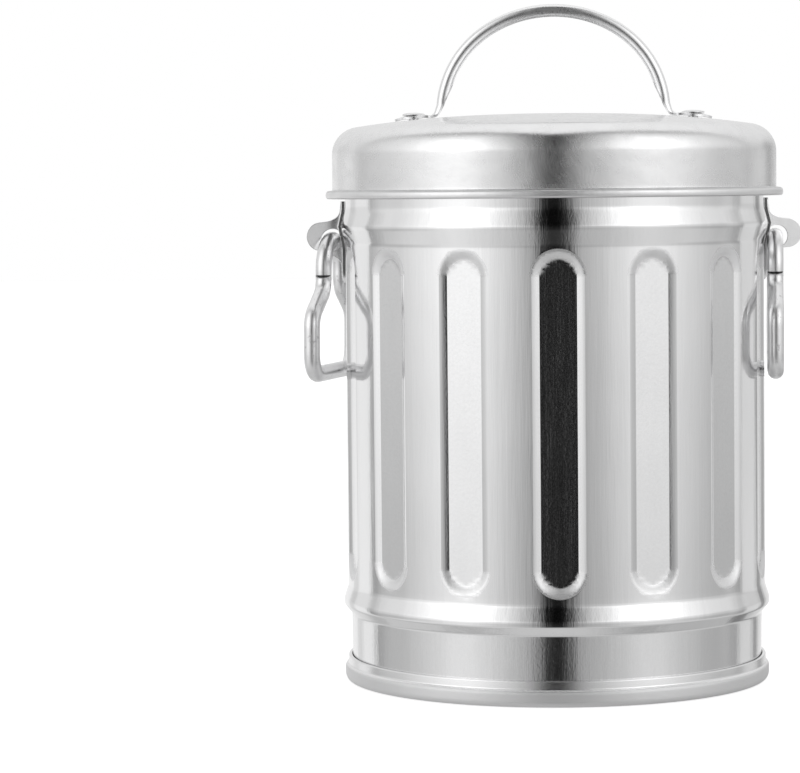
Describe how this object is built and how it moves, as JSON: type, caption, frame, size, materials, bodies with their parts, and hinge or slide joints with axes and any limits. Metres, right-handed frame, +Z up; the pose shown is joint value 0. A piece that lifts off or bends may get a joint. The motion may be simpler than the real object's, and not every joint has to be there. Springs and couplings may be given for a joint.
{
  "type": "tin money box",
  "caption": "Money box shaped like a fluted dustbin, with a lift-off lid, coin slot, strap handle and wire drop handles.",
  "frame": {"origin": "centre of the base, on the surface that the can stands on", "axes": "+Z up; front is -Y; the drop handles are on the -X (left) and +X (right) sides"},
  "size_m": [0.1072, 0.099, 0.146],
  "materials": {
    "body_tin": "bright tinplate",
    "base_tin": "bright tinplate",
    "lid_tin": "bright tinplate",
    "strap_tin": "bright plated strip",
    "rivet_steel": "bright plated",
    "ear_tin": "bright tinplate",
    "wire_steel": "bright drawn wire"
  },
  "bodies": {
    "can": {"body_shell": "body_tin", "base_disc": "base_tin", "ear_left": "ear_tin", "ear_right": "ear_tin"},
    "lid": {"lid_shell": "lid_tin", "lid_handle": "strap_tin", "lid_rivet_left": "rivet_steel", "lid_rivet_right": "rivet_steel"},
    "left_handle": {"drop_handle_left": "wire_steel"},
    "right_handle": {"drop_handle_right": "wire_steel"}
  },
  "joints": [
    {"name": "lid_lift", "type": "slide", "parent": "can", "child": "lid", "axis": [0, 0, 1], "range_m": [0, 0.045]},
    {"name": "left_handle_swing", "type": "hinge", "parent": "can", "child": "left_handle", "pos_m": [-0.0482, 0, 0.0956], "axis": [0.2079, 0.9781, 0], "range_deg": [0, 145]},
    {"name": "right_handle_swing", "type": "hinge", "parent": "can", "child": "right_handle", "pos_m": [0.0477, 0, 0.0956], "axis": [-0.0558, -0.9984, 0], "range_deg": [0, 145]}
  ]
}
